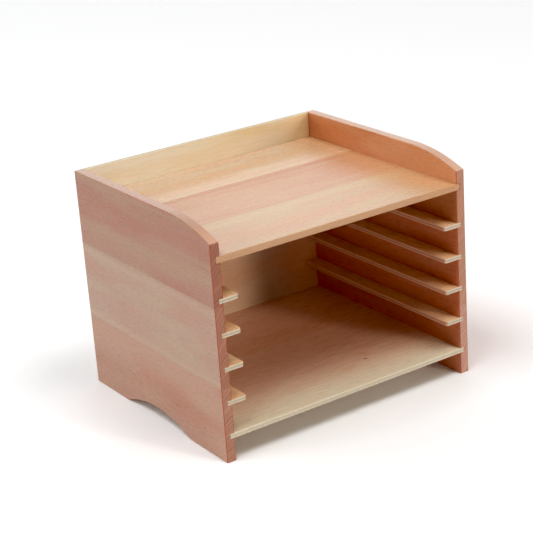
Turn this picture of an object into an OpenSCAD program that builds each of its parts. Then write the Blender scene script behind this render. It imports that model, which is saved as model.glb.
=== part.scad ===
// Desktop file sorter: two beech sides with curved tops and arched feet carry a beech tray
// shelf, pairs of plywood runners and a plywood bottom, and a plywood back closes the rear.
// The origin is the middle of the footprint on the surface it stands on: X runs across,
// the open front looks along -Y and Z points up.

/* [Carcass] */
// Width over both sides
body_w = 350; // [300:1:450]
// Depth of the sides from front to rear
body_d = 290; // [220:1:360]
// Height of the sides at the rear
body_h = 272; // [225:1:340]

/* [Sides] */
// Thickness of the beech sides
side_t = 12; // [10:0.5:20]
// Height of the lowest stave of each side
low_stave_h = 89; // [60:1:110]
// Height of the middle stave of each side
mid_stave_h = 94; // [60:1:105]
// Distance behind the front edge at which the top edge starts to curve down
curve_run = 85; // [40:1:140]
// How far the top edge has come down where it meets the front edge
curve_drop = 16.5; // [6:0.5:28]
// Length of each foot, from the front or rear edge to the arch
foot_l = 75; // [40:1:95]
// Height of the arch between the feet
arch_h = 15; // [5:0.5:22]

/* [Tray shelf] */
// Thickness of the beech shelf
shelf_t = 8; // [6:0.5:12]
// Height of the sides above the shelf
tray_h = 32; // [30:1:60]
// Width of the shelf's front stave
front_stave_w = 95; // [60:1:100]
// Width of the shelf's middle stave
mid_stave_w = 100; // [60:1:105]

/* [Bottom and back] */
// Thickness of the plywood bottom
bottom_t = 6; // [4:0.5:10]
// Free height under the bottom
bottom_gap = 27.5; // [24:0.5:45]
// Thickness of the plywood back
back_t = 5; // [3:0.5:8]

/* [Runners] */
// Number of runners on each side
runner_count = 4; // [1:1:5]
// Thickness of the plywood runners
runner_t = 5.5; // [4:0.5:8]
// How far a runner stands out from its side
runner_w = 19.5; // [12:0.5:30]
// Radius of the runner's free front corner
runner_r = 3; // [1:0.5:6]

/* [Joints] */
// Depth to which shelf, bottom and runners are let into the sides
groove_d = 5.5; // [3:0.5:8]
// Room for glue above each let-in piece and behind its end
glue_gap = 0.1; // [0.05:0.05:0.3]
// Diameter of the pins that hold the back
pin_d = 1.6; // [1.2:0.1:2]
// Length of the pins
pin_l = 20; // [14:1:30]
// Diameter of the pins' heads
pin_head_d = 3; // [2.4:0.1:3.6]
// Thickness of the pins' heads
pin_head_t = 0.8; // [0.4:0.1:1.2]
// Number of pins in each row
pin_count = 4; // [2:1:8]
// Distance of the last pin in a row from the side
pin_inset = 25; // [15:1:60]

/* [Hidden] */
$fn = 96;
runner_ids = [1 : runner_count];

// Cuts reach this far past the faces they open
past = 1;
// Room round a pin's shank
pin_room = 0.05;

front = -body_d / 2;
rear = body_d / 2;
inner_x = body_w / 2 - side_t;
inner_d = body_d - back_t;

shelf_top = body_h - tray_h;
shelf_under = shelf_top - shelf_t;
bottom_top = bottom_gap + bottom_t;
// The runners' tops split the height between bottom and shelf into equal steps
step_h = (shelf_under - bottom_top) / (runner_count + 1);

mid_stave_z = low_stave_h;
top_stave_z = low_stave_h + mid_stave_h;
mid_stave_y = front + front_stave_w;
rear_stave_y = mid_stave_y + mid_stave_w;

// Circle that leaves the level top edge curve_run behind the front and drops by curve_drop
curve_radius = (pow(curve_run, 2) + pow(curve_drop, 2)) / (2 * curve_drop);
// Circle through both ends of the arch and its crown
arch_half = body_d / 2 - foot_l;
arch_radius = (pow(arch_half, 2) + pow(arch_h, 2)) / (2 * arch_h);

SIDE_PINK = "#b98a76";
SIDE_TAN = "#bd9f8a";
TRAY_REAR = "#e3bd8f";
TRAY_PINK = "#e2baa3";
TRAY_PALE = "#e6cbb0";
PLY_CREAM = "#d6bf98";
PLY_EDGE = "#d8ccb0";
STEEL = "#9a9a98";

function runner_top(i) = shelf_under - i * step_h;

module mirrored() {
    mirror([1, 0, 0]) children();
}

// Outline of a side, seen along X: its level top, front curve and arch
module side_outline() {
    difference() {
        translate([front, 0]) square([body_d, body_h]);
        translate([0, arch_h - arch_radius]) circle(r = arch_radius, $fn = 360);
        difference() {
            translate([front - past, body_h - curve_drop])
                square([curve_run + past, curve_drop + past]);
            translate([front + curve_run, body_h - curve_radius])
                circle(r = curve_radius, $fn = 360);
        }
    }
}

// Groove in the left side for a piece of thickness t whose underside is at z
module groove(z, t) {
    translate([-inner_x - groove_d - glue_gap, front - past, z])
        cube([groove_d + glue_gap + past, inner_d + past, t + glue_gap]);
}

// Left side between two heights, with every groove that falls in it
module side_stave(low, high) {
    difference() {
        translate([-body_w / 2, 0, 0]) rotate([90, 0, 90]) linear_extrude(side_t)
            intersection() {
                side_outline();
                translate([front, low]) square([body_d, high - low]);
            }
        groove(shelf_under, shelf_t);
        groove(bottom_gap, bottom_t);
        for (i = runner_ids) groove(runner_top(i) - runner_t, runner_t);
    }
}

module lower_stave() {
    color(SIDE_PINK) side_stave(0, mid_stave_z);
}

module middle_stave() {
    color(SIDE_TAN) side_stave(mid_stave_z, top_stave_z);
}

module upper_stave() {
    color(SIDE_PINK) side_stave(top_stave_z, body_h);
}

// Panel let into both sides, from y0 to y1 along the depth, bored where pins reach it
module let_in_panel(z, t, y0, y1) {
    difference() {
        translate([-inner_x - groove_d, y0, z]) cube([2 * (inner_x + groove_d), y1 - y0, t]);
        pin_holes();
    }
}

module tray_front_stave() {
    color(TRAY_PALE) let_in_panel(shelf_under, shelf_t, front, mid_stave_y);
}

module tray_middle_stave() {
    color(TRAY_PINK) let_in_panel(shelf_under, shelf_t, mid_stave_y, rear_stave_y);
}

module tray_rear_stave() {
    color(TRAY_REAR) let_in_panel(shelf_under, shelf_t, rear_stave_y, rear - back_t);
}

module bottom_panel() {
    color(PLY_CREAM) let_in_panel(bottom_gap, bottom_t, front, rear - back_t);
}

module back_panel() {
    color(PLY_CREAM) difference() {
        translate([-inner_x, rear - back_t, bottom_gap])
            cube([2 * inner_x, back_t, body_h - bottom_gap]);
        pin_holes();
    }
}

// Runner on the left side, with its free front corner rounded
module runner(i) {
    color(PLY_EDGE) translate([0, 0, runner_top(i) - runner_t]) linear_extrude(runner_t)
        difference() {
            translate([-inner_x - groove_d, front]) square([groove_d + runner_w, inner_d]);
            translate([-inner_x + runner_w - runner_r, front + runner_r]) difference() {
                translate([0, -runner_r - past]) square([runner_r + past, runner_r + past]);
                circle(r = runner_r);
            }
        }
}

// Children at each pin's place on the back's rear face, pointing forwards
module at_pins() {
    span = 2 * (inner_x - pin_inset);
    for (z = [shelf_under + shelf_t / 2, bottom_gap + bottom_t / 2])
        for (k = [0 : pin_count - 1])
            translate([-span / 2 + k * span / (pin_count - 1), rear, z])
                rotate([90, 0, 0]) children();
}

// Pin from its head along +Z, grown all round by room and past the head by extra
module pin(room, extra) {
    translate([0, 0, -extra]) cylinder(d = pin_head_d + 2 * room, h = pin_head_t + extra);
    cylinder(d = pin_d + 2 * room, h = pin_l);
}

module pin_holes() {
    at_pins() pin(pin_room, past);
}

module back_pins() {
    color(STEEL) at_pins() pin(0, 0);
}

lower_stave();  // left_lower_stave
middle_stave();  // left_middle_stave
upper_stave();  // left_upper_stave
mirrored() lower_stave();  // right_lower_stave
mirrored() middle_stave();  // right_middle_stave
mirrored() upper_stave();  // right_upper_stave
tray_front_stave();
tray_middle_stave();
tray_rear_stave();
bottom_panel();
back_panel();
back_pins();
for (i = runner_ids) {
    runner(i);
    mirrored() runner(i);
}
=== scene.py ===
import math

import bmesh
import bpy
from mathutils import Matrix, Vector


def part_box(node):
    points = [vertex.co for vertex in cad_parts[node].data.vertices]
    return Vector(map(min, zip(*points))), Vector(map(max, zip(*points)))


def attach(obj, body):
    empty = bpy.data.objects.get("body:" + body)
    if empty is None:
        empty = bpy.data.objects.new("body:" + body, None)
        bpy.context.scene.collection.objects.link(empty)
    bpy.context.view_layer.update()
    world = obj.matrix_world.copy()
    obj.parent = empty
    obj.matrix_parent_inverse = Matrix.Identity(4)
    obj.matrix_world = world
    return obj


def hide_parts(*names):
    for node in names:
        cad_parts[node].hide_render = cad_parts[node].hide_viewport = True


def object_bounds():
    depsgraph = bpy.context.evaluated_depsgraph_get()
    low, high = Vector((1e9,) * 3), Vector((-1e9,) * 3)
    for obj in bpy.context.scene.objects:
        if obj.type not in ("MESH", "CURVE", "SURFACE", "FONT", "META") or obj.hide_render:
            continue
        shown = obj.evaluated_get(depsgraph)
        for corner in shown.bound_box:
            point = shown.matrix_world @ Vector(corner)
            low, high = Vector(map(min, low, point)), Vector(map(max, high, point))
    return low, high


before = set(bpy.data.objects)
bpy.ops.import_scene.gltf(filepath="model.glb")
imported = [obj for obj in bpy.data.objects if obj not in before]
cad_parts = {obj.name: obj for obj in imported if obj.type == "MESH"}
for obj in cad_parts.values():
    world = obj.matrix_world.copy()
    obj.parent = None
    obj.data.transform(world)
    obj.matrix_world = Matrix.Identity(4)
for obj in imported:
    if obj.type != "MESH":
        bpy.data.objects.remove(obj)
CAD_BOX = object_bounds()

# A beech and plywood file sorter on a pale studio floor. The frame gives every size and
# place. Boards are rebuilt with eased edges and fine arcs, and their finishes are solid
# wood patterns in real millimetres, so that faces, edges and end grain belong together.

MM = 0.001
X, Y, Z = 0, 1, 2

# Sizes that the frame doesn't give
ARRIS_BEECH = 0.9 * MM      # hand-sanded edge of the solid boards
ARRIS_PLY = 0.45 * MM       # lightly broken edge of the plywood
GLUE_GAP = 0.1 * MM         # room left above and behind each let-in piece
RUNNER_CORNER = 3 * MM      # radius of each runner's free front corner
GRAIN_RELIEF = 0.04 * MM    # depth of the grain under the lacquer
RING = 2.9                  # millimetres from one growth ring to the next

# Help to read and cut the meshes
FREE_CORNER = {"left": 3, "right": 2}    # the runner outline's corner that is rounded
RUN_OUT = 1 * MM            # how far a cutter runs past the face it cuts through
SAME_PLACE = 0.01 * MM      # closer than this, two places are the same
ARCH_BELOW = 20 * MM        # the arch under a side stays below this height
PIN_REACH = 5 * MM          # points of one pin lie no further apart than this

# Tones shared by all boards of one wood
BEECH_DARK = "#5e2c1a"      # late wood, flecks and fibres
BEECH_JOINT = "#6b4230"     # glue line between two boards
BEECH_ARRIS_LINE = "#a04526"      # redder line along the arrises of end grain
BIRCH_DARK = "#6d4526"      # fibres and pores
BIRCH_CREAM = "#bdb8ab"     # veneer cut across its grain
BIRCH_CORE = "#8f7d5c"      # middle veneer
BIRCH_GRIT = "#a58a62"      # coarse spots of a sawn edge
BIRCH_GLUE = "#5b4126"      # glue between two veneers


# ---------------------------------------------------------------- camera

def put_camera():
    """Looks down at the left front corner from 1.9 m away with a long lens."""
    azimuth, elevation, roll = (math.radians(a) for a in (33.41, 20.95, -4.11))
    distance = 1899 * MM
    forward = Vector((math.sin(azimuth) * math.cos(elevation),
                      math.cos(azimuth) * math.cos(elevation),
                      -math.sin(elevation)))
    level = Vector((math.cos(azimuth), -math.sin(azimuth), 0))
    upright = level.cross(forward)
    right = math.cos(roll) * level + math.sin(roll) * upright
    up = math.cos(roll) * upright - math.sin(roll) * level
    low, high = CAD_BOX
    aim = (low + high) / 2 + Vector((0.3, 15.7, 2.8)) * MM
    camera = bpy.data.objects.new("camera", bpy.data.cameras.new("camera"))
    camera.data.sensor_width = 36
    camera.data.lens = 107.0
    camera.matrix_world = Matrix.Translation(aim - forward * distance) @ Matrix(
        (right, up, -forward)).transposed().to_4x4()
    bpy.context.scene.collection.objects.link(camera)
    bpy.context.scene.camera = camera


# ---------------------------------------------------------------- colour

def linear(hex_colour):
    """An sRGB hex value as linear RGBA."""
    channels = [int(hex_colour[i:i + 2], 16) / 255 for i in (1, 3, 5)]
    return tuple(c / 12.92 if c <= 0.04045 else ((c + 0.055) / 1.055) ** 2.4
                 for c in channels) + (1.0,)


# ---------------------------------------------------------------- node helpers

def add(tree, kind, inputs=None, **settings):
    """Adds a node, sets its properties, and links or sets its inputs by name or number."""
    node = tree.nodes.new(kind)
    for name, value in settings.items():
        setattr(node, name, value)
    for key, value in (inputs or {}).items():
        if isinstance(value, bpy.types.NodeSocket):
            tree.links.new(value, node.inputs[key])
        else:
            node.inputs[key].default_value = value
    return node


# Sockets of the colour mode of the mix node
MIX_BY, MIX_FROM, MIX_TO, MIXED = 0, 6, 7, 2


def ease_to(tree, value, start, stop, out_start, out_stop):
    """Maps a value smoothly from one range to another and holds it beyond the ends."""
    return add(tree, "ShaderNodeMapRange", {"Value": value, 1: start, 2: stop, 3: out_start,
               4: out_stop}, interpolation_type="SMOOTHSTEP").outputs[0]


def reckon(tree, operation, *values):
    """One step of arithmetic on numbers."""
    return add(tree, "ShaderNodeMath", dict(enumerate(values)), operation=operation).outputs[0]


def reckon_vector(tree, operation, *values, output=0):
    """One step of arithmetic on vectors."""
    return add(tree, "ShaderNodeVectorMath", dict(enumerate(values)),
               operation=operation).outputs[output]


def part_of(tree, vector, axis):
    """One of the three parts of a vector."""
    return add(tree, "ShaderNodeSeparateXYZ", {0: vector}).outputs[axis]


def tint(tree, amount, colour, other):
    """Mixes a colour, given as a socket or a hex value, towards another."""
    ends = [c if isinstance(c, bpy.types.NodeSocket) else linear(c) for c in (colour, other)]
    return add(tree, "ShaderNodeMix", {MIX_BY: amount, MIX_FROM: ends[0], MIX_TO: ends[1]},
               data_type="RGBA").outputs[MIXED]


def face_mark(tree, name):
    """A number that the faces of a piece carry: end_grain, edge or arris."""
    return add(tree, "ShaderNodeAttribute", attribute_name=name).outputs["Fac"]


# ---------------------------------------------------------------- wood

def solid_wood(tree, grain, offset):
    """Object coordinates in millimetres, turned so that X runs along the grain, Y across
    the board's width and Z through its thickness."""
    here = add(tree, "ShaderNodeTexCoord").outputs["Object"]
    axes = add(tree, "ShaderNodeSeparateXYZ", {0: here}).outputs
    turned = add(tree, "ShaderNodeCombineXYZ", {i: axes[a] for i, a in enumerate(grain)})
    return add(tree, "ShaderNodeMapping", {
        "Vector": turned.outputs[0], "Location": offset, "Scale": (1 / MM, 1 / MM, 1 / MM),
    }).outputs[0]


def figure_noise(tree, place, size, detail=3.0, roughness=0.55, output=0):
    """Noise stretched to a given size in millimetres along, across and through a board."""
    cells = reckon_vector(tree, "MULTIPLY", place, [1 / s for s in size])
    return add(tree, "ShaderNodeTexNoise", {"Vector": cells, "Scale": 1.0, "Detail": detail,
               "Roughness": roughness}).outputs[output]


def drift(tree, place, size, detail=3.0, roughness=0.55):
    """A vector that points another way from place to place, up to half a unit each way."""
    noise = figure_noise(tree, place, size, detail, roughness, output=1)
    return reckon_vector(tree, "SUBTRACT", noise, (0.5, 0.5, 0.5))


def wander(tree, place, size, reach, followed):
    """Bends the grain. Moves every place that is followed to the side by up to half the
    reach, in millimetres, slowly changing over the given size."""
    sway = drift(tree, place, size, 2.0)
    return [reckon_vector(tree, "MULTIPLY_ADD", sway, reach, at) for at in followed]


def dashes(tree, place, size, start, stop):
    """Short pointed dashes, one to a cell of the given size in millimetres."""
    cells = reckon_vector(tree, "MULTIPLY", place, [1 / s for s in size])
    dots = add(tree, "ShaderNodeTexVoronoi", {"Vector": cells, "Scale": 1.0})
    return ease_to(tree, dots.outputs["Distance"], start, stop, 1.0, 0.0)


def lay_bands(tree, colour, across, bands):
    """Lays soft bands over a colour, each given as its centre and half width in
    millimetres across the board, its strength and its colour."""
    for centre, half, strength, shade in bands:
        off = reckon(tree, "ABSOLUTE", reckon(tree, "SUBTRACT", across, centre))
        colour = tint(tree, ease_to(tree, off, 0.0, half, strength, 0.0), colour, shade)
    return colour


def satin_lacquer(tree, colour, rough, height, strength):
    """A thin satin lacquer that mirrors faintly at a low angle and follows the grain."""
    relief = add(tree, "ShaderNodeBump", {"Strength": strength, "Distance": GRAIN_RELIEF,
                 "Height": height}).outputs[0]
    return add(tree, "ShaderNodeBsdfPrincipled", {"Base Color": colour, "Roughness": rough,
               "IOR": 1.5, "Normal": relief}).outputs[0]


def finish(name, build_surface):
    """A material with a given name around a surface's nodes."""
    material = bpy.data.materials.new(name)
    material.use_nodes = True
    tree = material.node_tree
    tree.nodes.clear()
    add(tree, "ShaderNodeOutputMaterial", {0: build_surface(tree)})
    return material


# ---------------------------------------------------------------- beech

def growth_rings(tree, bent, pith):
    """How far a point lies in the dark late wood of its year, from 0 to 1. The rings run
    round the pith, which lies outside the board, and are not all equally wide."""
    section = reckon_vector(tree, "MULTIPLY", bent, (0, 1, 1))
    radius = reckon_vector(tree, "DISTANCE", section, (0, *pith), output="Value")
    years = add(tree, "ShaderNodeTexNoise", {"W": radius, "Scale": 0.13, "Detail": 1.0},
                noise_dimensions="1D").outputs[0]
    uneven = reckon(tree, "MULTIPLY_ADD", years, 2.2 * RING, radius)
    phase = reckon(tree, "FRACT", reckon(tree, "DIVIDE", uneven, RING))
    return ease_to(tree, phase, 0.3, 0.95, 0.0, 1.0)


def beech_clouds(tree, bent, moved, ground, rosy, tan):
    """Rosy and tan clouds that lie along the grain."""
    rose = ease_to(tree, figure_noise(tree, moved, (170, 38, 60), 2.0), 0.38, 0.66, 0.0, 1.0)
    fawn = ease_to(tree, figure_noise(tree, bent, (120, 24, 60), 2.0), 0.45, 0.66, 0.0, 0.8)
    return tint(tree, fawn, tint(tree, rose, ground, rosy), tan)


def beech_edges(tree, colour, cut_across, edge_shading_tones, end):
    """Gives the long edges tones of their own, level and curving down: painted light and shade,
    paler or darker than the faces by the way the edges face. The end grain gets its own tone."""
    edge_shading_colour = tint(tree, ease_to(tree, cut_across, 0.0, 0.12, 0.0, 1.0), *edge_shading_tones)
    colour = tint(tree, reckon(tree, "MULTIPLY", face_mark(tree, "edge"), 0.8), colour, edge_shading_colour)
    return tint(tree, ease_to(tree, cut_across, 0.25, 0.8, 0.0, 0.85), colour, end)


def redden_arrises(tree, colour, cut_across):
    """Draws the arrises of end grain as a redder line."""
    reddened = ease_to(tree, cut_across, 0.05, 0.3, 0.1, 0.85)
    reddened = reckon(tree, "MULTIPLY", face_mark(tree, "arris"), reddened)
    return tint(tree, reddened, colour, BEECH_ARRIS_LINE)


def beech_depth(tree, cut_across, late, bold, fleck, fibre, mottle):
    """How far the wood is darkened: by its rings 7% on the faces and a bold share on the end
    grain, by its flecks 10%, and by the rest finely about a mean of nothing."""
    on_face = reckon(tree, "SUBTRACT", 1.0, cut_across)
    shade = reckon(tree, "MULTIPLY", late, ease_to(tree, cut_across, 0.1, 0.8, 0.07, bold))
    shade = reckon(tree, "MULTIPLY_ADD", reckon(tree, "MULTIPLY", fleck, on_face), 0.1, shade)
    shade = reckon(tree, "MULTIPLY_ADD", fibre, 0.1, shade)
    shade = reckon(tree, "MULTIPLY_ADD", mottle, 0.13, shade)
    return reckon(tree, "SUBTRACT", shade, 0.115)


def beech(name, grain, seed, pith, ground, rosy, tan, edge_shading_tones, end, bands=(), painted_light_patches=(), joints=(),
          bold=0.52):
    """Steamed beech, planed, sanded and given a satin lacquer. Rosy and tan clouds lie along
    the grain, growth rings draw faint lines on the faces and bold slanting ones on the end
    grain, and short ray flecks pepper the faces.
    The grain says which axes run along, across and through the board. The seed moves the
    pattern, so that no two boards share one, and the pith is the centre of the rings across
    and through the board, both in millimetres. The edge shading tones are two tones of painted
    light and shade on the long edges, level and curving down. Bands run along the board, and
    each patch of painted light stands across it."""
    def surface(tree):
        board = solid_wood(tree, grain, (0, 0, 0))
        place = solid_wood(tree, grain, seed)
        bent, moved = wander(tree, place, (210, 60, 60), (0, 16, 9), (board, place))
        cut_across = face_mark(tree, "end_grain")

        # Drawn about twice as coarse as real ray flecks and fibres, so that they show
        fleck = dashes(tree, moved, (4.2, 1.2, 1.1), 0.16, 0.4)
        fibre = figure_noise(tree, moved, (10, 1.4, 1.4), 3.0, 0.65)
        mottle = figure_noise(tree, moved, (7, 3.2, 3.2), 2.0, 0.6)

        colour = beech_clouds(tree, bent, moved, ground, rosy, tan)
        colour = lay_bands(tree, colour, part_of(tree, bent, Y), bands)
        # Painted light laid across the board
        colour = lay_bands(tree, colour, part_of(tree, board, X), painted_light_patches)
        # Long edges take tones of their own: painted light and shade, by the way they face
        colour = beech_edges(tree, colour, cut_across, edge_shading_tones, end)

        late = growth_rings(tree, bent, pith)
        depth = beech_depth(tree, cut_across, late, bold, fleck, fibre, mottle)
        colour = tint(tree, depth, colour, BEECH_DARK)
        glue_lines = [(at, 0.35, 0.4, BEECH_JOINT) for at in joints]
        colour = lay_bands(tree, colour, part_of(tree, board, Y), glue_lines)
        colour = redden_arrises(tree, colour, cut_across)

        satin = ease_to(tree, fibre, 0.3, 0.7, 0.26, 0.33)
        rough = reckon(tree, "MULTIPLY_ADD", cut_across, 0.22, satin)
        height = reckon(tree, "MULTIPLY_ADD", fleck, -0.2, fibre)
        return satin_lacquer(tree, colour, rough, height, 0.14)
    return finish(name, surface)


# ---------------------------------------------------------------- plywood

def birch_clouds(tree, bent, moved, ground, pale, deep):
    """Paler and deeper clouds of a rotary-cut face, drawn out along the grain."""
    paler = ease_to(tree, figure_noise(tree, moved, (240, 24, 60)), 0.4, 0.64, 0.0, 1.0)
    deeper = ease_to(tree, figure_noise(tree, bent, (200, 30, 60)), 0.48, 0.68, 0.0, 0.8)
    return tint(tree, deeper, tint(tree, paler, ground, pale), deep)


def lay_marks_and_painted_light(tree, colour, board, knots_and_painted_light):
    """Lays ragged knot marks, clouds and spots of painted light over a face, each given as its
    place along and across the board and its half sizes, all in millimetres, its strength and
    its colour."""
    ragged = drift(tree, board, (7, 7, 7), 3.0, 0.6)
    for along, across, half_along, half_across, strength, shade in knots_and_painted_light:
        near = reckon_vector(tree, "SUBTRACT", board, (along, across, 0))
        torn = reckon_vector(tree, "MULTIPLY_ADD", ragged, (3.2, 2.4, 0), near)
        sized = reckon_vector(tree, "MULTIPLY", torn, (1 / half_along, 1 / half_across, 0))
        off = reckon_vector(tree, "LENGTH", sized, output="Value")
        colour = tint(tree, ease_to(tree, off, 0.35, 1.0, strength, 0.0), colour, shade)
    return colour


def ply_layers(tree, place, rise, thickness, core, flank):
    """A plywood edge: two cream face plies and a greyer core between hairline glue joints.
    The rise is a point's height in the board. Along the board's sides the veneers are cut
    with the grain and show the warmer flank instead of cream."""
    share = reckon(tree, "DIVIDE", rise, thickness)
    wavy = figure_noise(tree, place, (24, 24, 24), 1.0)
    level = reckon(tree, "SUBTRACT", reckon(tree, "MULTIPLY_ADD", wavy, 0.14, share), 0.57)
    middle = reckon(tree, "ABSOLUTE", level)
    in_core = ease_to(tree, middle, 0.08, 0.15, core, 0.0)
    from_joint = reckon(tree, "ABSOLUTE", reckon(tree, "SUBTRACT", middle, 0.14))
    joint = ease_to(tree, from_joint, 0.01, 0.04, 0.3 * core, 0.0)
    coarse = figure_noise(tree, place, (1.1, 1.1, 1.1), 3.0, 0.7)
    grit = ease_to(tree, coarse, 0.35, 0.65, 0.0, 0.25)
    veneer = tint(tree, face_mark(tree, "end_grain"), flank, BIRCH_CREAM)
    colour = tint(tree, grit, tint(tree, in_core, veneer, BIRCH_CORE), BIRCH_GRIT)
    return tint(tree, joint, colour, BIRCH_GLUE)


def plywood(name, grain, seed, tones, underside, thickness, step=0.0, bands=(), painted_light_patches=(),
            knots_and_painted_light=(), flank="#ebb79f", core=0.6):
    """Three-ply birch, sanded, with the same satin lacquer over soft clouds and fine pores.
    The grain, seed, bands and painted light are as for beech, and the tones are the ground,
    paler and deeper ones of its faces. The layers are counted from the underside, which is the
    front of an upright board. With a step, boards are stacked that far apart."""
    def surface(tree):
        board = solid_wood(tree, grain, (0, 0, 0))
        place = solid_wood(tree, grain, seed)
        bent, moved = wander(tree, place, (170, 50, 50), (0, 22, 6), (board, place))

        # Drawn several times as coarse as real fibres and pores, so that they show
        fibre = figure_noise(tree, moved, (20, 1.2, 1.2), 3.0, 0.65)
        pore = dashes(tree, moved, (5.0, 1.1, 1.1), 0.1, 0.3)

        face = birch_clouds(tree, bent, moved, *tones)
        face = lay_bands(tree, face, part_of(tree, bent, Y), bands)
        # Painted light laid across the board
        face = lay_bands(tree, face, part_of(tree, board, X), painted_light_patches)
        face = lay_marks_and_painted_light(tree, face, board, knots_and_painted_light)
        depth = reckon(tree, "MULTIPLY_ADD", fibre, 0.045, -0.022)
        depth = reckon(tree, "MULTIPLY_ADD", pore, 0.035, depth)
        face = tint(tree, depth, face, BIRCH_DARK)

        here = add(tree, "ShaderNodeTexCoord").outputs["Object"]
        rise = reckon(tree, "SUBTRACT", part_of(tree, here, grain[2]), underside)
        if step:
            rise = reckon(tree, "MODULO", rise, step)
        layers = ply_layers(tree, place, rise, thickness, core, flank)
        edge = face_mark(tree, "edge")
        colour = tint(tree, edge, face, layers)

        satin = ease_to(tree, fibre, 0.3, 0.7, 0.24, 0.34)
        rough = reckon(tree, "MULTIPLY_ADD", edge, 0.3, satin)
        height = reckon(tree, "MULTIPLY_ADD", pore, -0.6, fibre)
        return satin_lacquer(tree, colour, rough, height, 0.08)
    return finish(name, surface)


# ---------------------------------------------------------------- steel

def pin_wire(name):
    """Bright drawn steel wire with a pressed head: a hard glint with fine drawing scratches."""
    def surface(tree):
        here = add(tree, "ShaderNodeTexCoord").outputs["Object"]
        scratch = add(tree, "ShaderNodeTexNoise", {"Vector": here, "Scale": 2.5 / MM,
                      "Detail": 3.0}).outputs[0]
        rough = ease_to(tree, scratch, 0.3, 0.7, 0.28, 0.45)
        return add(tree, "ShaderNodeBsdfPrincipled", {"Roughness": rough, "Metallic": 1.0,
                   "Base Color": tint(tree, scratch, "#b9b9b6", "#8f8d88")}).outputs[0]
    return finish(name, surface)


# ---------------------------------------------------------------- meshes

def prism(outline, thin, low, high):
    """A bmesh of an outline in the two other axes, drawn out along the thin axis."""
    bm = bmesh.new()
    first, second = [a for a in (X, Y, Z) if a != thin]
    rings = []
    for at in (low, high):
        ring = []
        for a, b in outline:
            co = Vector((0, 0, 0))
            co[thin], co[first], co[second] = at, a, b
            ring.append(bm.verts.new(co))
        rings.append(ring)
    bm.faces.new(rings[0])
    bm.faces.new(list(reversed(rings[1])))
    count = len(outline)
    for i in range(count):
        j = (i + 1) % count
        bm.faces.new((rings[0][i], rings[0][j], rings[1][j], rings[1][i]))
    bmesh.ops.recalc_face_normals(bm, faces=bm.faces)
    return bm


def ease(bm, width, kept=()):
    """Rounds every sharp edge except those that lie in a kept plane, given as (axis, place),
    where the board is glued flush to its neighbour."""
    def flush(edge):
        return any(all(abs(v.co[axis] - at) < SAME_PLACE for v in edge.verts)
                   for axis, at in kept)
    sharp = [e for e in bm.edges if e.calc_face_angle(0) > math.radians(20) and not flush(e)]
    bmesh.ops.bevel(bm, geom=sharp, offset=width, segments=3, profile=0.5, affect="EDGES",
                    clamp_overlap=True)


def box_mesh(low, high):
    """A bmesh of a box between two corners."""
    bm = bmesh.new()
    bmesh.ops.create_cube(bm, size=1)
    for v in bm.verts:
        v.co = (low + high) / 2 + v.co * (high - low)
    return bm


def rod(centre, radius, front, rear):
    """A bmesh of a round bar lying along Y, centred on an (x, z) point."""
    bm = bmesh.new()
    bmesh.ops.create_cone(bm, cap_ends=True, segments=32, radius1=radius, radius2=radius,
                          depth=rear - front)
    bmesh.ops.rotate(bm, verts=bm.verts, matrix=Matrix.Rotation(math.pi / 2, 3, "X"))
    bmesh.ops.translate(bm, verts=bm.verts, vec=(centre[0], (front + rear) / 2, centre[1]))
    bmesh.ops.recalc_face_normals(bm, faces=bm.faces)
    return bm


def arc(centre, radius, start, stop, steps):
    """Points from one angle to another round a centre, both ends included."""
    angles = [start + (stop - start) * i / steps for i in range(steps + 1)]
    return [(centre[0] + radius * math.cos(a), centre[1] + radius * math.sin(a))
            for a in angles]


def link(name, bm):
    """Turns a bmesh into an object in the scene."""
    mesh = bpy.data.meshes.new(name)
    bm.to_mesh(mesh)
    bm.free()
    thing = bpy.data.objects.new(name, mesh)
    bpy.context.scene.collection.objects.link(thing)
    return thing


def settle(thing):
    """Replaces an object's mesh by its evaluated one and drops its modifiers."""
    bpy.context.view_layer.update()
    graph = bpy.context.evaluated_depsgraph_get()
    made = bpy.data.meshes.new_from_object(thing.evaluated_get(graph))
    thing.modifiers.clear()
    thing.data = made
    made.name = thing.name


def cut(thing, tools):
    """Cuts a list of shapes out of a piece."""
    tool = bmesh.new()
    for part in tools:
        scratch = bpy.data.meshes.new("cutter")
        part.to_mesh(scratch)
        part.free()
        tool.from_mesh(scratch)
        bpy.data.meshes.remove(scratch)
    cutter = link("cutter", tool)
    boolean = thing.modifiers.new("cut", "BOOLEAN")
    boolean.object = cutter
    boolean.solver = "EXACT"
    settle(thing)
    bpy.data.objects.remove(cutter)


def mark_faces(mesh, thin, grain):
    """Marks which faces are end grain, plywood edge or eased arris, and which edges are
    sharp."""
    bm = bmesh.new()
    bm.from_mesh(mesh)
    bmesh.ops.remove_doubles(bm, verts=bm.verts, dist=0.001 * MM)
    bm.normal_update()
    marks = {n: bm.faces.layers.float.new(n) for n in ("end_grain", "edge", "arris")}
    for f in bm.faces:
        f.smooth = True
        through = abs(f.normal[thin])
        f[marks["end_grain"]] = f.normal[grain] ** 2
        f[marks["edge"]] = 1.0 if through < 0.7 else 0.0
        f[marks["arris"]] = 1.0 if 0.1 < through < 0.98 else 0.0
    for e in bm.edges:
        e.smooth = e.calc_face_angle(0) < math.radians(40)
    bm.to_mesh(mesh)
    bm.free()


def dress(thing, node_names, material, thin, grain):
    """Marks a piece's faces, smooths the shading over its rounded edges, gives it its
    finish and hands it to the frame."""
    mark_faces(thing.data, thin, grain)
    weighted = thing.modifiers.new("even shading", "WEIGHTED_NORMAL")
    weighted.mode = "FACE_AREA"
    weighted.keep_sharp = True
    settle(thing)
    thing.data.materials.clear()
    thing.data.materials.append(material)
    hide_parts(*node_names)
    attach(thing, "root")


# ---------------------------------------------------------------- side boards

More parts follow.
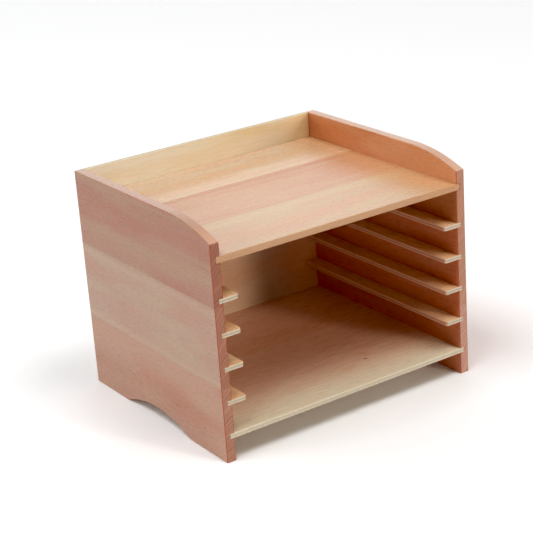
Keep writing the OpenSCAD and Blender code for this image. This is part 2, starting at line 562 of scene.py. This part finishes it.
def lower_outline(node):
    """Feet and arch of a lower board, as (y, z) points."""
    low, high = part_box(node)
    points = {(round(v.co.y, 6), round(v.co.z, 6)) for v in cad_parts[node].data.vertices}
    toes = sorted(y for y, z in points if z < SAME_PLACE)
    heel_front, heel_rear = toes[1], toes[-2]
    half = (heel_rear - heel_front) / 2
    middle = (heel_rear + heel_front) / 2
    y, z = max((p for p in points if heel_front < p[0] < heel_rear and p[1] < ARCH_BELOW),
               key=lambda p: p[1])
    centre = ((y - middle) ** 2 + z ** 2 - half ** 2) / (2 * z)
    lean = math.atan2(-centre, half)
    arch = arc((middle, centre), math.hypot(half, centre), lean, math.pi - lean, 48)
    return [(low.y, high.z), (high.y, high.z), (high.y, low.z), *arch, (low.y, low.z)]


def middle_outline(node):
    """A plain rectangle, as (y, z) points."""
    low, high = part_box(node)
    return [(low.y, low.z), (high.y, low.z), (high.y, high.z), (low.y, high.z)]


def upper_outline(node):
    """Level top and front curve of an upper board, as (y, z) points."""
    low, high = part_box(node)
    points = [v.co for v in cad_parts[node].data.vertices]
    starts = min(p.y for p in points if high.z - p.z < SAME_PLACE)
    lands = max(p.z for p in points if p.y - low.y < SAME_PLACE)
    run, drop = starts - low.y, high.z - lands
    radius = (run ** 2 + drop ** 2) / (2 * drop)
    curve = arc((starts, high.z - radius), radius, math.pi / 2,
                math.pi / 2 + math.asin(run / radius), 32)
    return [(low.y, low.z), (high.y, low.z), (high.y, high.z), *curve]


def grooves(side, base, top):
    """Room for everything let into one side, as cutters that run out through its front."""
    let_in = [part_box(n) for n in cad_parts
              if n in ("bottom_panel", "tray_front_stave") or n.startswith(side + "_runner")]
    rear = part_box("bottom_panel")[1].y
    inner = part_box("back_panel")[1].x
    sign = -1 if side == "left" else 1
    cuts = []
    for low, high in let_in:
        if low.z > top or high.z < base:
            continue
        deep = max(abs(low.x), abs(high.x)) + GLUE_GAP
        near, far = sorted((sign * (inner - RUN_OUT), sign * deep))
        cuts.append(box_mesh(Vector((near, low.y - RUN_OUT, low.z)),
                             Vector((far, rear, high.z + GLUE_GAP))))
    return cuts


def side_board(side, level, outline, glue_planes, material):
    """One board of a side, cut to its outline and grooved."""
    node = f"{side}_{level}_stave"
    low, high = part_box(node)
    bm = prism(outline(node), X, low.x, high.x)
    ease(bm, ARRIS_BEECH, kept=[(Z, at) for at in glue_planes])
    board = link(f"{side}_{level}_board", bm)
    cut(board, grooves(side, low.z, high.z))
    dress(board, [node], material, X, Y)


# ---------------------------------------------------------------- flat boards

def each_pin():
    """The points of the eight back pins, one list to a pin."""
    pins = []
    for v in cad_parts["back_pins"].data.vertices:
        for pin in pins:
            if math.hypot(v.co.x - pin[0].x, v.co.z - pin[0].z) < PIN_REACH:
                pin.append(v.co)
                break
        else:
            pins.append([v.co])
    return pins


def pin_bores():
    """Room for the eight back pins, shank and flush head, as round cutters."""
    bores = []
    for pin in each_pin():
        centre = [(min(p[a] for p in pin) + max(p[a] for p in pin)) / 2 for a in (X, Z)]
        reach = {p.y: 0.0 for p in pin}
        for p in pin:
            reach[p.y] = max(reach[p.y], math.hypot(p.x - centre[0], p.z - centre[1]))
        tip, head = min(reach), max(reach)
        neck = min(y for y in reach if reach[y] > 0.95 * reach[head])
        bores.append(rod(centre, reach[tip] + GLUE_GAP / 2, tip, neck))
        bores.append(rod(centre, reach[head] + GLUE_GAP / 2, neck, head + RUN_OUT))
    return bores


def panel(name, node, material, thin, grain, arris, kept=(), pinned=False):
    """A flat board with eased edges, bored for the pins where it is pinned."""
    low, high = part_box(node)
    bm = box_mesh(low, high)
    ease(bm, arris, kept)
    board = link(name, bm)
    if pinned:
        cut(board, pin_bores())
    dress(board, [node], material, thin, grain)


# ---------------------------------------------------------------- runners

def runner_tree():
    """Geometry nodes for one side's ladder of runners: a strip with one rounded corner,
    given its thickness and repeated upwards at an equal step."""
    tree = bpy.data.node_groups.new("runner ladder", "GeometryNodeTree")
    for name, kind in (("Lowest", "Vector"), ("Width", "Float"), ("Length", "Float"),
                       ("Thickness", "Float"), ("Corner radius", "Float"),
                       ("Rounded corner", "Int"), ("Count", "Int"), ("Step", "Float"),
                       ("Finish", "Material")):
        tree.interface.new_socket(name, in_out="INPUT", socket_type="NodeSocket" + kind)
    tree.interface.new_socket("Geometry", in_out="OUTPUT", socket_type="NodeSocketGeometry")
    given = add(tree, "NodeGroupInput").outputs
    strip = runner_strip(tree, given)
    climb = add(tree, "ShaderNodeCombineXYZ", {Z: given["Step"]}).outputs[0]
    rungs = add(tree, "GeometryNodeMeshLine", {"Count": given["Count"],
                "Start Location": given["Lowest"], "Offset": climb}).outputs[0]
    ladder = add(tree, "GeometryNodeInstanceOnPoints", {"Points": rungs,
                 "Instance": strip}).outputs[0]
    solid = add(tree, "GeometryNodeRealizeInstances", {0: ladder}).outputs[0]
    finished = add(tree, "GeometryNodeSetMaterial", {"Geometry": solid,
                   "Material": given["Finish"]}).outputs[0]
    add(tree, "NodeGroupOutput", {0: finished})
    return tree


def runner_strip(tree, given):
    """The geometry of a single runner, lying on its underside."""
    outline = add(tree, "GeometryNodeCurvePrimitiveQuadrilateral",
                  {"Width": given["Width"], "Height": given["Length"]}).outputs[0]
    index = add(tree, "GeometryNodeInputIndex").outputs[0]
    chosen = add(tree, "FunctionNodeCompare", {2: index, 3: given["Rounded corner"]},
                 data_type="INT", operation="EQUAL").outputs[0]
    radius = reckon(tree, "MULTIPLY", chosen, given["Corner radius"])
    rounded = add(tree, "GeometryNodeFilletCurve", {"Curve": outline, "Radius": radius,
                  "Count": 8}, mode="POLY").outputs[0]
    sheet = add(tree, "GeometryNodeFillCurve", {0: rounded}, mode="NGONS").outputs[0]
    up = add(tree, "ShaderNodeCombineXYZ", {Z: given["Thickness"]}).outputs[0]
    raised = add(tree, "GeometryNodeExtrudeMesh", {"Mesh": sheet, "Offset": up,
                 "Offset Scale": 1.0, "Individual": False}).outputs[0]
    under = add(tree, "GeometryNodeFlipFaces", {0: sheet}).outputs[0]
    joined = add(tree, "GeometryNodeJoinGeometry")
    tree.links.new(raised, joined.inputs[0])
    tree.links.new(under, joined.inputs[0])
    return add(tree, "GeometryNodeMergeByDistance", {"Geometry": joined.outputs[0],
               "Distance": SAME_PLACE}).outputs[0]


def feed(modifier, values):
    """Sets a nodes modifier's inputs, found by name and set by identifier."""
    sockets = {s.name: s.identifier for s in modifier.node_group.interface.items_tree
               if s.in_out == "INPUT"}
    for name, value in values.items():
        modifier[sockets[name]] = value


def runners(side, tree, material):
    """One side's ladder of four runners, as a single piece."""
    nodes = sorted(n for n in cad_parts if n.startswith(side + "_runner"))
    boxes = sorted((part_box(n) for n in nodes), key=lambda b: b[0].z)
    low, high = boxes[0]
    size = high - low
    thing = link(side + "_runners", bmesh.new())
    made = thing.modifiers.new("ladder", "NODES")
    made.node_group = tree
    feed(made, {
        "Lowest": ((low.x + high.x) / 2, (low.y + high.y) / 2, low.z),
        "Width": size.x, "Length": size.y, "Thickness": size.z,
        "Corner radius": RUNNER_CORNER, "Rounded corner": FREE_CORNER[side],
        "Count": len(nodes), "Step": boxes[1][0].z - low.z, "Finish": material,
    })
    eased = thing.modifiers.new("eased", "BEVEL")
    eased.width = ARRIS_PLY
    eased.segments = 2
    eased.limit_method = "ANGLE"
    eased.angle_limit = math.radians(50)
    settle(thing)
    dress(thing, nodes, material, Z, Y)


# ---------------------------------------------------------------- the sorter

def left_woods(outer, joints):
    """Rosy and fawn boards with their bands, bottom to top."""
    # Edge tones paler than the faces: painted light on the level top and the front curve
    grain, edge_shading_tones = (Y, Z, X), ("#b5927e", "#d1ad94")
    return {
        "lower": beech("rosy beech, foot board", grain, (40, 12, 3), (150, outer - 60),
                       "#b08a76", "#ae806a", "#b08e77", edge_shading_tones, "#9f7461", joints=joints,
                       bands=[(38, 14, 0.35, "#a6745e"), (72, 10, 0.3, "#b3907a")]),
        "middle": beech("fawn beech", grain, (310, 44, 9), (215, outer - 70),
                        "#ad8f7d", "#ad8876", "#ad957e", edge_shading_tones, "#956551", joints=joints,
                        bands=[(94, 7, 0.4, "#bba38b"), (175, 6, 0.3, "#baa18c")]),
        "upper": beech("rosy beech, mottled", grain, (620, 91, 5), (290, outer - 60),
                       "#a57e6a", "#a2715e", "#a38169", edge_shading_tones, "#895643", joints=joints,
                       bands=[(245, 16, 0.55, "#a36e59"), (268, 7, 0.5, "#a5886b"),
                              (214, 12, 0.45, "#a88d73"), (192, 9, 0.35, "#a57765")]),
    }


def right_woods(inner, joints):
    """Three boards much alike, with fainter rings on their end grain. Their orange faces are
    partly the wood's own warmth and partly painted warm bounce light.
    """
    # Edge tones paler and less orange than the faces: painted light on the upward edges
    grain, edge_shading_tones, bold = (Y, Z, X), ("#b89983", "#cdb39f"), 0.32
    # Orange grounds: partly the wood's own warmth, partly painted warm bounce light
    return {
        "lower": beech("warm-toned beech with painted bounce light, foot board", grain, (905, 17, 2), (-40, inner + 90),
                       "#d28966", "#d0835f", "#d39071", edge_shading_tones, "#ae8a7c", joints=joints,
                       bold=bold),
        "middle": beech("warm-toned beech with painted bounce light", grain, (1210, 33, 8), (60, inner + 95),
                        "#d28966", "#d0835f", "#d39071", edge_shading_tones, "#a47a64", joints=joints,
                        bold=bold),
        "upper": beech("warm-toned beech with painted bounce light, streaked", grain, (1530, 71, 6), (140, inner + 100),
                       "#ca8d63", "#c58159", "#cd956f", edge_shading_tones, "#a47a64", joints=joints,
                       bold=bold),
    }


def sides():
    """Three boards a side, glued edge to edge, each with its own wood."""
    base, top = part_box("left_lower_stave"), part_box("left_upper_stave")
    glue = [base[1].z, top[0].z]
    joints = [at / MM for at in glue]
    outer = base[0].x / MM
    shapes = {"lower": (lower_outline, glue[:1]), "middle": (middle_outline, glue),
              "upper": (upper_outline, glue[1:])}
    for side, woods in (("left", left_woods(outer, joints)),
                        ("right", right_woods(-outer, joints))):
        for level, wood in woods.items():
            outline, planes = shapes[level]
            side_board(side, level, outline, planes, wood)


def tray_woods(joints):
    """Cream, salmon and honey, front to rear, all with painted warm bounce light from the right
    side over the right end.
    """
    # Edge tone darker than the faces: painted shade on the front edge
    grain, edge_shading_tones, end = (X, Y, Z), ("#ae8a6a", "#ae8a6a"), "#ae8664"
    # Painted warm bounce light from the right side, a gold tint over the right end of each board
    side_bounce = [(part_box("tray_rear_stave")[1].x / MM, 85, 0.6, "#d5a16d")]
    return {
        "front": beech("cream beech", grain, (150, 21, 4), (20, 150),
                       "#c3a688", "#c59f82", "#c3ab88", edge_shading_tones, end, joints=joints,
                       bands=[(-62, 14, 0.6, "#c9af8d"), (-105, 22, 0.5, "#c89e7f")],
                       painted_light_patches=side_bounce),
        "middle": beech("salmon beech", grain, (470, 57, 7), (-60, 170),
                        "#c49c7f", "#c29477", "#c5a184", edge_shading_tones, end, joints=joints,
                        bands=[(42, 7, 0.6, "#bb8163"), (24, 8, 0.35, "#be8967")],
                        painted_light_patches=side_bounce),
        "rear": beech("honey beech", grain, (790, 83, 1), (70, 160),
                      "#d4bba0", "#d4b396", "#d7c3ab", edge_shading_tones, end, joints=joints,
                      bands=[(62, 12, 0.5, "#d5b69f"), (96, 16, 0.4, "#d6ad82")],
                      painted_light_patches=side_bounce),
    }


def tray():
    """The shelf on top, of three boards glued edge to edge."""
    glue = [corner.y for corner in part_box("tray_middle_stave")]
    kept = {"front": glue[:1], "middle": glue, "rear": glue[1:]}
    for level, wood in tray_woods([at / MM for at in glue]).items():
        panel(f"tray_{level}_board", f"tray_{level}_stave", wood, Z, X,
              ARRIS_BEECH, kept=[(Y, at) for at in kept[level]], pinned=level == "rear")


def bottom_board():
    """Salmon with a cream front edge, both painted light: warm bounce inside, lamplight at the
    front. It has one small dark knot and a few warm clouds.
    """
    low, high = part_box("bottom_panel")
    knot = (62, -90, 3.4, 2.2, 0.95, "#8a361a")
    clouds = [(70, -74, 12, 5, 0.3, "#d99a5c"), (86, -62, 30, 7, 0.25, "#d8935c"),
              (30, -100, 18, 5, 0.25, "#dc9c62")]
    wood = plywood("birch plywood, bottom", (X, Y, Z), (33, 5, 0),
                   # The salmon ground is painted warm bounce light from the sides
                   ("#e9c1ac", "#ebc9b3", "#e3b79b"), low.z, high.z - low.z, core=0.35,
                   # The cream band towards the front edge is painted light where the lamps reach
                   flank="#c3beae", bands=[(-150, 100, 1.0, "#dfd6be")], knots_and_painted_light=[knot, *clouds])
    panel("bottom_board", "bottom_panel", wood, Z, X, ARRIS_PLY, pinned=True)


def back_board():
    """Painted light: browner below the tray for the shade under it, gold towards the right end
    and orange in its lower corner for warm light bounced off the right side.
    """
    low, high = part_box("back_panel")
    right = high.x / MM
    wood = plywood("birch plywood, back", (X, Z, Y), (333, 65, 0),
                   ("#d9ccb2", "#dcd6c3", "#d4c39c"), low.y, high.y - low.y, flank="#d2cbb6",
                   # Painted shade: browner under the tray
                   bands=[(90, 130, 0.7, "#bb8f70")],
                   # Painted warm bounce light: gold over the right end
                   painted_light_patches=[(right, 55, 0.8, "#efd9ac")],
                   # Painted warm reflection of the right side in the lower right corner
                   knots_and_painted_light=[(right, 95, 85, 120, 0.55, "#d98e60")])
    panel("back_board", "back_panel", wood, Y, X, ARRIS_PLY, pinned=True)


def runner_ladders():
    """The ladder of runners on each side, from one tree and two cuts of the same plywood."""
    low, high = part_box("left_runner_4")
    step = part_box("left_runner_3")[0].z - low.z
    ladder = runner_tree()
    for side, seed in (("left", (11, 40, 0)), ("right", (411, 90, 0))):
        wood = plywood(f"birch plywood, {side} runners", (Y, X, Z), seed,
                       ("#e6c098", "#e9cba8", "#e2b68c"), low.z, high.z - low.z, step)
        runners(side, ladder, wood)


def pins():
    """The back pins keep their shape from the frame and are given bright wire."""
    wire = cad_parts["back_pins"]
    wire.data.materials.clear()
    wire.data.materials.append(pin_wire("bright steel wire"))


# ---------------------------------------------------------------- studio

def softbox(name, azimuth, elevation, wide, tall, glow, gel="#ffffff"):
    """A far softbox aimed at the sorter, given by its direction, the angles it fills as
    seen from there, all in degrees, its radiance and the colour of its gel."""
    reach = 6.0
    aim = Vector((0, 0, 0.12))
    azimuth, elevation, wide, tall = (math.radians(a) for a in (azimuth, elevation, wide, tall))
    data = bpy.data.lights.new(name, "AREA")
    data.shape = "RECTANGLE"
    data.size = 2 * reach * math.tan(wide * math.cos(elevation) / 2)
    data.size_y = 2 * reach * math.tan(tall / 2)
    data.energy = glow * math.pi * data.size * data.size_y
    data.color = linear(gel)[:3]
    lamp = bpy.data.objects.new(name, data)
    lamp.location = aim + reach * Vector((math.cos(azimuth) * math.cos(elevation),
                                          math.sin(azimuth) * math.cos(elevation),
                                          math.sin(elevation)))
    lamp.rotation_euler = (aim - lamp.location).to_track_quat("-Z", "Y").to_euler()
    lamp.visible_camera = False
    bpy.context.scene.collection.objects.link(lamp)


def lay_floor():
    """A sheet of matt white paper, eight metres square, with its top at zero."""
    half, thick = 4.0, 0.02
    floor = link("floor", box_mesh(Vector((-half, -half, -thick)), Vector((half, half, 0))))
    paper = bpy.data.materials.new("white paper")
    paper.use_nodes = True
    coat = paper.node_tree.nodes["Principled BSDF"]
    coat.inputs["Base Color"].default_value = linear("#f5f6f7")
    coat.inputs["Roughness"].default_value = 0.9
    floor.data.materials.append(paper)


def hang_sky():
    """A sky that lights the sorter only faintly but looks plain white behind it."""
    world = bpy.data.worlds.new("white sky")
    world.use_nodes = True
    sky = world.node_tree.nodes["Background"]
    sky.inputs["Color"].default_value = (1, 1, 1, 1)
    seen = add(world.node_tree, "ShaderNodeLightPath").outputs["Is Camera Ray"]
    glow = reckon(world.node_tree, "MULTIPLY_ADD", seen, 1.0, 0.05)
    world.node_tree.links.new(glow, sky.inputs["Strength"])
    bpy.context.scene.world = world


def hang_lights():
    """Two wide softboxes overhead, a narrow lamp in front that shines low into the slots, a
    weak warm fill beside it, and two glowing walls behind."""
    softbox("overhead, front", 300, 66, 60, 22, 7.7)
    softbox("overhead, left", 190, 65, 80, 22, 7.3)
    softbox("low lamp", 291, 12, 8, 20, 33, gel="#fff0e4")
    softbox("front fill", 245, 12, 40, 12, 1.75, gel="#ffe9d8")
    softbox("wall, rear right", 52, 20, 60, 40, 1.6)
    softbox("wall, rear left", 145, 20, 70, 18, 4.6)


def set_tone():
    """A plain transfer with slightly more contrast and deeper darks."""
    tone = bpy.context.scene.view_settings
    tone.view_transform = "Standard"
    tone.gamma = 0.87
    tone.use_curve_mapping = True
    tone.curve_mapping.black_level = (0.02, 0.02, 0.02)


put_camera()
lay_floor()
hang_sky()
hang_lights()
set_tone()
sides()
tray()
bottom_board()
back_board()
runner_ladders()
pins()
